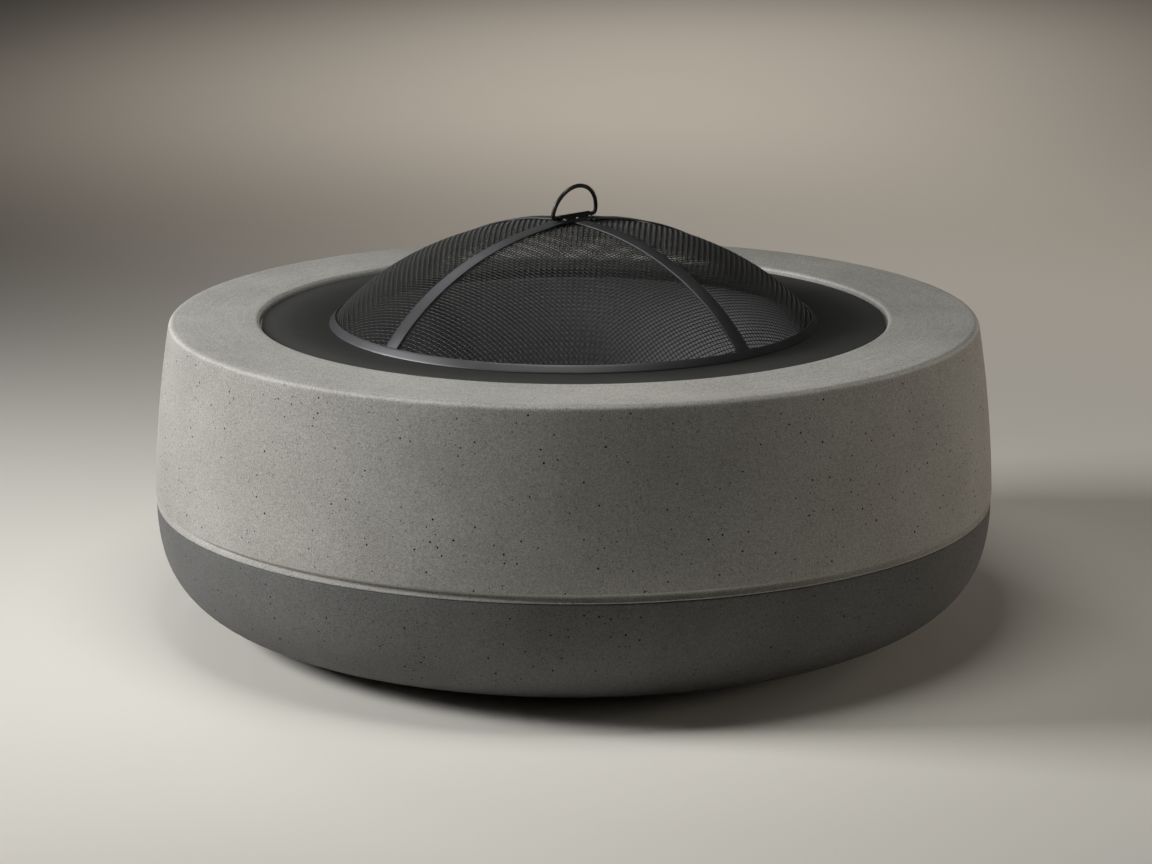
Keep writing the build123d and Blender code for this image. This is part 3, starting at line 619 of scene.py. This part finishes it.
bowlSizes = {
    "flangeRadius": 395 * mm, "flangeTop": 380 * mm, "flangeLand": 29 * mm, "edgeBreak": 0.4 * mm,
    "ease": ((6 * mm, 0.15 * mm), (10 * mm, 0.4 * mm)),  # run and drop of the bend from the land to the slope
    "seatRadius": 317 * mm, "seatHeight": 377.2 * mm, "mouth": 300 * mm, "mouthEdge": 12 * mm,
    "wallAngle": 68.0, "corner": 140 * mm, "depth": 205 * mm, "drain": 8 * mm, "sheet": 2.5 * mm,
    "slopeStep": 12 * mm, "wallStep": 10 * mm, "floorStep": 20 * mm, "mouthSteps": 8, "cornerSteps": 18,
    "segments": 300,
}


def bowlFace(sizes, under):
    # one face of the sheet, from the flange's edge to the drain
    seat = (sizes["seatRadius"], sizes["seatHeight"] - under)
    mouth, mouthEdge, wallAngle = (sizes["mouth"], seat[1]), sizes["mouthEdge"] - under, sizes["wallAngle"]
    edge = arcFrom(mouth, straightIn, mouthEdge, wallAngle, sizes["mouthSteps"])
    floor = sizes["seatHeight"] - sizes["depth"] - under
    corner = sizes["corner"] + under
    lean = radians(wallAngle)
    run = (edge[-1][1] - floor - corner * (1 - cos(lean))) / sin(lean)
    foot = edge[-1] - run * np.array((cos(lean), sin(lean)))
    bend = arcFrom(foot, straightIn + wallAngle, corner, -wallAngle, sizes["cornerSteps"])
    drain = np.array((sizes["drain"], floor))
    flat = [*steppedLine(bend[-1], drain, sizes["floorStep"])[1:], drain]
    land, top = sizes["flangeRadius"] - sizes["flangeLand"], sizes["flangeTop"] - under
    eased, slopeStart = [(land - width, top - drop) for width, drop in sizes["ease"]]
    rim = [(sizes["flangeRadius"] - sizes["edgeBreak"], top), (land, top), eased]
    slope = steppedLine(slopeStart, seat, sizes["slopeStep"])
    wall = steppedLine(edge[-1], foot, sizes["wallStep"])[1:]
    return [*rim, *slope, seat, *edge, *wall, *bend, *flat]


upperFace, lowerFace = bowlFace(bowlSizes, 0.0), bowlFace(bowlSizes, bowlSizes["sheet"])
edgeDrops = (bowlSizes["sheet"] - bowlSizes["edgeBreak"], bowlSizes["edgeBreak"])
flangeEdge = [(bowlSizes["flangeRadius"], bowlSizes["flangeTop"] - drop) for drop in edgeDrops]
bowlMesh = lathe("fireBowl", [*upperFace, *reversed(lowerFace), *flangeEdge], bowlSizes["segments"])
addObject("fireBowl", bowlMesh, "fire_bowl", "fire_bowl", bowlPaint)
# painted light: the inside of the pan below its rounded mouth takes the paler copy of the paint
bowlMesh.materials.append(bowlInsidePaintedLight)
for face in bowlMesh.polygons:  # inside of the pan, below its rounded mouth
    spot = Vector((face.center.x, face.center.y, 0))
    inward = face.normal.z > 0 or face.normal.dot(spot) < 0
    face.material_index = int(inward and spot.length < bowlSizes["mouth"] - bowlSizes["mouthEdge"] / 2)
print("bowl turned")


# the spark screen

screenSizes = {
    "hoopRadius": 310.5 * mm, "margin": 43.5 * mm, "height": 129.5 * mm, "seat": 377.2 * mm,
    "hoopWidth": 12 * mm, "hoopSegments": 300, "gap": 0.2 * mm, "edge": 0.5 * mm, "edgeSteps": 3,
    "strapThickness": 2 * mm, "strapWidth": 20 * mm, "strapEndGap": 0.25 * mm, "strapAngle": 45.0,
    "crossHalf": 30 * mm, "crossSlope": 28 * mm, "strapRows": 40, "crossRows": 10,
    "clampThickness": 1.5 * mm, "clampWidth": 10 * mm, "clampSegments": 240,
    "wireRadius": 0.55 * mm, "wireSides": 5, "weave": 2.4 * mm, "pitch": 4.95 * mm, "wires": 139,
    "meshLift": 2 * mm, "sheetBend": 420 * mm,
}
# the section of the dome is part of an ellipse; depths are from the outside of the hoop and straps
domeReach = screenSizes["hoopRadius"] + screenSizes["margin"]
domeBulge = screenSizes["height"] / (1 - sqrt(1 - (screenSizes["hoopRadius"] / domeReach) ** 2))
domeCentre = screenSizes["seat"] + screenSizes["height"] - domeBulge
meshDepth = screenSizes["strapThickness"] + screenSizes["gap"]
clampDepth = meshDepth + screenSizes["weave"] + screenSizes["gap"]


def domePoint(depth, angle):
    return (domeReach - depth) * cos(angle), domeCentre + (domeBulge - depth) * sin(angle)


def levelAngle(depth, height):
    return asin((height - domeCentre) / (domeBulge - depth))


rimAngle = levelAngle(0.0, screenSizes["seat"])
rimRun = sqrt((domeReach * sin(rimAngle)) ** 2 + (domeBulge * cos(rimAngle)) ** 2)  # length for each radian


def domeBand(sizes, outer, inner, width, rows=5):
    # section of a band that stands on the seat and follows the dome
    top = rimAngle + width / rimRun
    corners = []
    for depth, ends in ((outer, (levelAngle(outer, sizes["seat"]), top)),
                        (inner, (top, levelAngle(inner, sizes["seat"])))):
        start, *between, end = [domePoint(depth, angle) for angle in np.linspace(*ends, rows)]
        corners += [(*start, sizes["edge"]), *sharp(between), (*end, sizes["edge"])]
    return roundCorners(corners, sizes["edgeSteps"])


hoopBand = domeBand(screenSizes, 0.0, screenSizes["strapThickness"], screenSizes["hoopWidth"])
hoopMesh = lathe("screenHoop", hoopBand, screenSizes["hoopSegments"])
addObject("screenHoop", hoopMesh, "spark_screen", "screen_hoop", strapPaint)
clampInside = clampDepth + screenSizes["clampThickness"]
clampBand = domeBand(screenSizes, clampDepth, clampInside, screenSizes["clampWidth"])
clampMesh = lathe("clampRing", clampBand, screenSizes["clampSegments"])
addObject("clampRing", clampMesh, "spark_screen", "clamp_ring", strapPaint)


def strapAxes(angle):
    # directions along a strap, across it and up
    along = np.array((cos(radians(angle)), sin(radians(angle)), 0))
    return along, np.array((along[1], -along[0], 0)), np.array((0, 0, 1))


def strapLine(sizes, depth, lift):
    # one face of a strap, seen from the side; lift raises its middle over the other strap
    end = rimAngle + (sizes["hoopWidth"] + sizes["strapEndGap"]) / rimRun
    low = acos((sizes["crossHalf"] + sizes["crossSlope"]) / (domeReach - depth))
    high = acos(sizes["crossHalf"] / (domeReach - depth + lift))
    half = [domePoint(depth, angle) for angle in np.linspace(end, low, sizes["strapRows"])]
    half += [domePoint(depth - lift, angle) for angle in np.linspace(high, pi / 2, sizes["crossRows"])]
    return np.array(half + [(-x, z) for x, z in reversed(half[:-1])])


def strapMesh(name, sizes, angle, lift):
    # a flat bar bent over the dome, with softened edges
    thick, half, edge = sizes["strapThickness"], sizes["strapWidth"] / 2, sizes["edge"]
    section = roundCorners([(half, 0, edge), (half, thick, edge), (-half, thick, edge), (-half, 0, edge)],
                           sizes["edgeSteps"])
    along, across, up = strapAxes(angle)
    inner, outer = strapLine(sizes, thick, lift), strapLine(sizes, 0.0, lift)
    points = []
    for low, high in zip(inner, outer):
        for side, out in section:
            run, rise = low + (high - low) * out / thick
            points.append(along * run + across * side + up * rise)
    count = len(section)
    ends = [tuple(range(count)), tuple(range(len(points) - count, len(points)))]
    return meshFrom(name, points, ringFaces(len(inner), count, closed=False) + ends)


overLift = screenSizes["strapThickness"] + screenSizes["gap"]
underStrap = strapMesh("strapUnder", screenSizes, screenSizes["strapAngle"] + 90, 0.0)
addObject("strapUnder", underStrap, "spark_screen", "strap_under", strapPaint)
overStrap = strapMesh("strapOver", screenSizes, screenSizes["strapAngle"], overLift)
addObject("strapOver", overStrap, "spark_screen", "strap_over", strapPaint)
print("hoop and straps bent")


def weaveTree():
    # wires that run one way over the dome, weaving over and under the wires that cross them
    tree, given = startTree("wireWeave", {
        "Int": ["First Wire", "Wire Count", "Middle Wire", "Wire Sides"], "Material": ["Finish"],
        "Float": ["Dome Reach", "Dome Bulge", "Dome Centre", "Sheet Bend", "Wire Radius", "Pitch", "Crimp",
                  "Rim Height", "Direction"]})
    samples = calc(tree, "MULTIPLY_ADD", given["Middle Wire"], 4.0, 1.0)  # two points for each pitch
    line = addNode(tree, "GeometryNodeCurvePrimitiveLine")
    line = addNode(tree, "GeometryNodeResampleCurve", {"Curve": line.outputs[0], "Count": samples})
    starts = addNode(tree, "GeometryNodeMeshLine", {"Count": given["Wire Count"]})
    copies = addNode(tree, "GeometryNodeInstanceOnPoints", {
        "Points": starts.outputs[0], "Instance": line.outputs[0]})
    wires = addNode(tree, "GeometryNodeRealizeInstances", {"Geometry": copies.outputs[0]})
    # a wire's number and a point's place on it, both counted in pitches from the crown
    spline = addNode(tree, "GeometryNodeCurveOfPoint").outputs["Curve Index"]
    number = calc(tree, "SUBTRACT", calc(tree, "ADD", spline, given["First Wire"]), given["Middle Wire"])
    step = addNode(tree, "GeometryNodeSplineParameter").outputs["Index"]
    middleStep = calc(tree, "MULTIPLY", given["Middle Wire"], 2.0)
    pitches = calc(tree, "MULTIPLY", calc(tree, "SUBTRACT", step, middleStep), 0.5)

    def reachOf(count):
        # the flat sheet drawn in as it bends over the dome
        bend = calc(tree, "DIVIDE", calc(tree, "MULTIPLY", count, given["Pitch"]), given["Sheet Bend"])
        drawn = calc(tree, "MULTIPLY", calc(tree, "SINE", bend), given["Sheet Bend"])
        return calc(tree, "DIVIDE", drawn, given["Dome Reach"])

    side, along = reachOf(number), reachOf(pitches)
    flat = calc(tree, "ADD", calc(tree, "MULTIPLY", side, side), calc(tree, "MULTIPLY", along, along))
    rise = calc(tree, "SQRT", calc(tree, "MAXIMUM", calc(tree, "SUBTRACT", 1.0, flat), 0.0))
    spot = joinXYZ(tree, X=along, Y=side, Z=rise)
    size = joinXYZ(tree, X=given["Dome Reach"], Y=given["Dome Reach"], Z=given["Dome Bulge"])
    out = vectorCalc(tree, "NORMALIZE", vectorCalc(tree, "DIVIDE", spot, size))
    weave = calc(tree, "COSINE", calc(tree, "MULTIPLY", calc(tree, "ADD", pitches, number), pi))
    out = scaled(tree, out, calc(tree, "MULTIPLY", weave, given["Crimp"]))
    spot = vectorCalc(tree, "MULTIPLY_ADD", spot, size, out)
    spot = addNode(tree, "ShaderNodeVectorRotate", {"Vector": spot, "Angle": given["Direction"]},
                   rotation_type="Z_AXIS").outputs["Vector"]
    spot = vectorCalc(tree, "ADD", spot, joinXYZ(tree, Z=given["Dome Centre"]))
    laid = addNode(tree, "GeometryNodeSetPosition", {"Geometry": wires.outputs[0], "Position": spot})
    height = splitXYZ(tree, addNode(tree, "GeometryNodeInputPosition").outputs[0])["Z"]
    below = calc(tree, "LESS_THAN", height, given["Rim Height"])
    kept = addNode(tree, "GeometryNodeDeleteGeometry", {"Geometry": laid.outputs[0], "Selection": below},
                   domain="POINT")
    section = addNode(tree, "GeometryNodeCurvePrimitiveCircle", {
        "Resolution": given["Wire Sides"], "Radius": given["Wire Radius"]})
    tubes = addNode(tree, "GeometryNodeCurveToMesh", {
        "Curve": kept.outputs[0], "Profile Curve": section.outputs[0], "Fill Caps": True})
    plain = addNode(tree, "GeometryNodeRealizeInstances", {"Geometry": tubes.outputs[0]})
    done = addNode(tree, "GeometryNodeSetMaterial", {
        "Geometry": plain.outputs[0], "Material": given["Finish"]})
    tree.links.new(done.outputs[0], addNode(tree, "NodeGroupOutput").inputs[0])
    return tree


wireWeave = weaveTree()
middleWire = screenSizes["wires"] // 2
middleDepth = meshDepth + screenSizes["weave"] / 2
weaveSettings = {
    "Dome Reach": domeReach - middleDepth, "Dome Bulge": domeBulge - middleDepth, "Dome Centre": domeCentre,
    "Sheet Bend": screenSizes["sheetBend"], "Pitch": screenSizes["pitch"],
    "Wire Radius": screenSizes["wireRadius"], "Wire Sides": screenSizes["wireSides"],
    "Middle Wire": middleWire, "Finish": wirePaint,
    "Rim Height": screenSizes["seat"] + screenSizes["meshLift"] + 2 * screenSizes["wireRadius"],
}
for family, turn, crimp in (("warp", 0.0, 1.0), ("weft", 90.0, -1.0)):
    for half, first, count in (("Left", 0, middleWire), ("Right", middleWire, middleWire + 1)):
        settings = {**weaveSettings, "Direction": radians(screenSizes["strapAngle"] + turn),
                    "Crimp": crimp * screenSizes["wireRadius"], "First Wire": first, "Wire Count": count}
        mesh = runTree(family + half, wireWeave, settings)
        mesh.shade_smooth()
        addObject(family + half, mesh, "spark_screen", "mesh_dome")
        print(family + half, len(mesh.polygons), "faces")


# the ring handle

handleSizes = {
    "axis": 511.56 * mm, "rod": 2.6 * mm, "radius": 36.5 * mm, "corner": 5 * mm, "rise": 4 * mm, "lean": 11.0,
    "barStep": 4 * mm, "cornerSteps": 8, "arcSteps": 24, "sides": 16,
}


def ringPath(sizes):
    # half of the D, from the middle of the bar to the top of the arc, then its mirror image
    radius, corner, rise = sizes["radius"], sizes["corner"], sizes["rise"]
    barHalf = sqrt((radius - corner) ** 2 - (rise - corner) ** 2)
    turn = atan2(corner - rise, barHalf)
    half = steppedLine((0, 0), (barHalf, 0), sizes["barStep"])
    half += arcPoints((barHalf, corner), corner, -pi / 2, turn + pi / 2, sizes["cornerSteps"])
    half += arcPoints((0, rise), radius, turn, pi / 2 - turn, sizes["arcSteps"])[1:]
    return half + [np.array((-x, z)) for x, z in reversed(half[1:-1])]


def ringMesh(name, sizes, angle):
    # a round rod bent along the path, leaning across the strap that carries it
    path = np.array(ringPath(sizes))
    ahead, behind = np.roll(path, -1, 0), np.roll(path, 1, 0)
    tangent = (ahead - behind) / np.linalg.norm(ahead - behind, axis=1)[:, None]
    normal = np.stack((-tangent[:, 1], tangent[:, 0]), 1)
    along, across, up = strapAxes(angle)
    lean = radians(sizes["lean"])
    rise, face = up * cos(lean) + across * sin(lean), across * cos(lean) - up * sin(lean)
    rod, sides, points = sizes["rod"], sizes["sides"], []
    for spot, side in zip(path, normal):
        for step in range(sides):
            turn = 2 * pi * step / sides
            flat = spot + side * rod * cos(turn)
            points.append(along * flat[0] + rise * flat[1] + up * sizes["axis"] + face * rod * sin(turn))
    return meshFrom(name, points, ringFaces(len(path), sides))


handleMesh = ringMesh("handleRing", handleSizes, screenSizes["strapAngle"])
addObject("handleRing", handleMesh, "handle", "handle_ring", handlePaint)
nodes["handle_saddle"].data.materials[0] = handlePaint
print("handle bent")


# studio: pale floor, soft light, camera at the photograph's place

floorSettings = {
    "size": 60.0, "near": (0.82, 0.80, 0.755), "far": (0.52, 0.492, 0.45), "nearReach": 1.0, "farReach": 3.2,
    "frameHalf": 0.74, "frameWidens": 0.16, "frameFront": -1.3, "glowFrom": 0.25, "glowTo": 2.2,
    "pale": (0.40, 0.375, 0.34), "rough": 0.9, "gloss": 0.1,
}


def floorFinish(look):
    material, tree, shader, place = startMaterial("studioFloor", look["rough"], specular=look["gloss"])
    # painted shade: the floor's colour darkens from near to far, for light falling off away from the lamps
    reach = vectorLength(tree, place)
    sockets = {"Value": reach, "From Min": look["nearReach"], "From Max": look["farReach"]}
    far = addNode(tree, "ShaderNodeMapRange", sockets, interpolation_type="SMOOTHERSTEP").outputs["Result"]
    tree.links.new(blendColour(tree, far, look["near"], look["far"]), shader.inputs["Base Color"])
    # outside the photograph's frame the floor is seen pale without light, a plain ground from all sides
    spot = splitXYZ(tree, place)
    frameHalf = calc(tree, "MULTIPLY_ADD", spot["Y"], look["frameWidens"], look["frameHalf"])
    beside = calc(tree, "SUBTRACT", calc(tree, "ABSOLUTE", spot["X"]), frameHalf)
    before = calc(tree, "SUBTRACT", look["frameFront"], spot["Y"])
    outside = spread(tree, calc(tree, "MAXIMUM", beside, before), look["glowFrom"], look["glowTo"])
    # painted glow: there the floor gives off its own pale light to camera and glossy rays, with no lamp
    rays = addNode(tree, "ShaderNodeLightPath").outputs
    seen = calc(tree, "MAXIMUM", rays["Is Camera Ray"], rays["Is Glossy Ray"])
    tree.links.new(calc(tree, "MULTIPLY", outside, seen), shader.inputs["Emission Strength"])
    shader.inputs["Emission Color"].default_value = (*look["pale"], 1)
    return material


bpy.ops.mesh.primitive_plane_add(size=floorSettings["size"])
floor = bpy.context.object
floor.name = "studioFloor"
floor.data.materials.append(floorFinish(floorSettings))

lampSettings = {
    "key": {"place": (-3.6, -0.36, 1.9), "aim": (0, -0.25, 0.25), "wide": 1.3, "high": 1.1,
            "power": 39.5, "spread": 94.0, "colour": (1.0, 0.99, 0.97)},
    "top": {"place": (-0.1, -0.36, 2.0), "aim": (-0.1, -0.4, 0.0), "wide": 0.9, "high": 0.5,
            "power": 3.9, "spread": 100.0, "colour": (1.0, 0.99, 0.93)},
    "fill": {"place": (3.4, 0.6, 0.5), "aim": (0, 0, 0.3), "wide": 0.9, "high": 0.8,
             "power": 21.0, "spread": 180.0, "colour": (1.0, 0.9, 0.78)},
    "fillBack": {"place": (2.7, 1.96, 0.65), "aim": (0, 0, 0.3), "wide": 1.0, "high": 1.0,
                 "power": 13.5, "spread": 180.0, "colour": (1.0, 0.9, 0.78)},
    "rim": {"place": (-1.2, 1.9, 2.4), "aim": (-0.3, 0.1, 0.4), "wide": 0.8, "high": 0.8,
            "power": 0.55, "spread": 46.0, "colour": (0.97, 0.98, 1.0)},
    "back": {"place": (-0.1, 4.0, 3.5), "aim": (-0.1, 4.0, 0.0), "wide": 1.2, "high": 1.2,
             "power": 12.0, "spread": 70.0, "colour": (1.0, 0.94, 0.87)},
    "backFar": {"place": (0.15, 5.8, 3.2), "aim": (0.15, 5.8, 0.0), "wide": 1.6, "high": 1.6,
                "power": 13.5, "spread": 80.0, "colour": (1.0, 0.94, 0.87)},
    "backSide": {"place": (0.9, 2.4, 2.6), "aim": (0.9, 2.6, 0.0), "wide": 1.2, "high": 1.2,
                 "power": 4.2, "spread": 80.0, "colour": (1.0, 0.95, 0.88)},
}
for lampName, look in lampSettings.items():
    data = bpy.data.lights.new(lampName, "AREA")
    data.shape, data.size, data.size_y = "RECTANGLE", look["wide"], look["high"]
    data.energy, data.color, data.spread = look["power"], look["colour"], radians(look["spread"])
    lamp = bpy.data.objects.new(lampName, data)
    scene.collection.objects.link(lamp)
    lamp.location = look["place"]
    lamp.visible_glossy = not lampName.startswith("fill")  # keeps the low fills out of the black steel
    lamp.rotation_euler = (Vector(look["aim"]) - Vector(look["place"])).to_track_quat("-Z", "Y").to_euler()

worldGlow = {"Color": (0.62, 0.59, 0.55, 1), "Strength": 0.02}
world = bpy.data.worlds.new("studioWorld")
scene.world = world
world.use_nodes = True
for label, value in worldGlow.items():
    world.node_tree.nodes["Background"].inputs[label].default_value = value

cameraSettings = {"place": (0.1757, -4.6064, 1.3466), "pitch": 13.60, "heading": 2.15,
                  "lens": 115.84, "sensor": 36.0}
cameraData = bpy.data.cameras.new("photoCamera")
cameraData.lens, cameraData.sensor_width = cameraSettings["lens"], cameraSettings["sensor"]
camera = bpy.data.objects.new("photoCamera", cameraData)
scene.collection.objects.link(camera)
camera.location = cameraSettings["place"]
camera.rotation_euler = (radians(90 - cameraSettings["pitch"]), 0, radians(cameraSettings["heading"]))
scene.camera = camera
scene.view_settings.view_transform = "Standard"
print("studio lit")
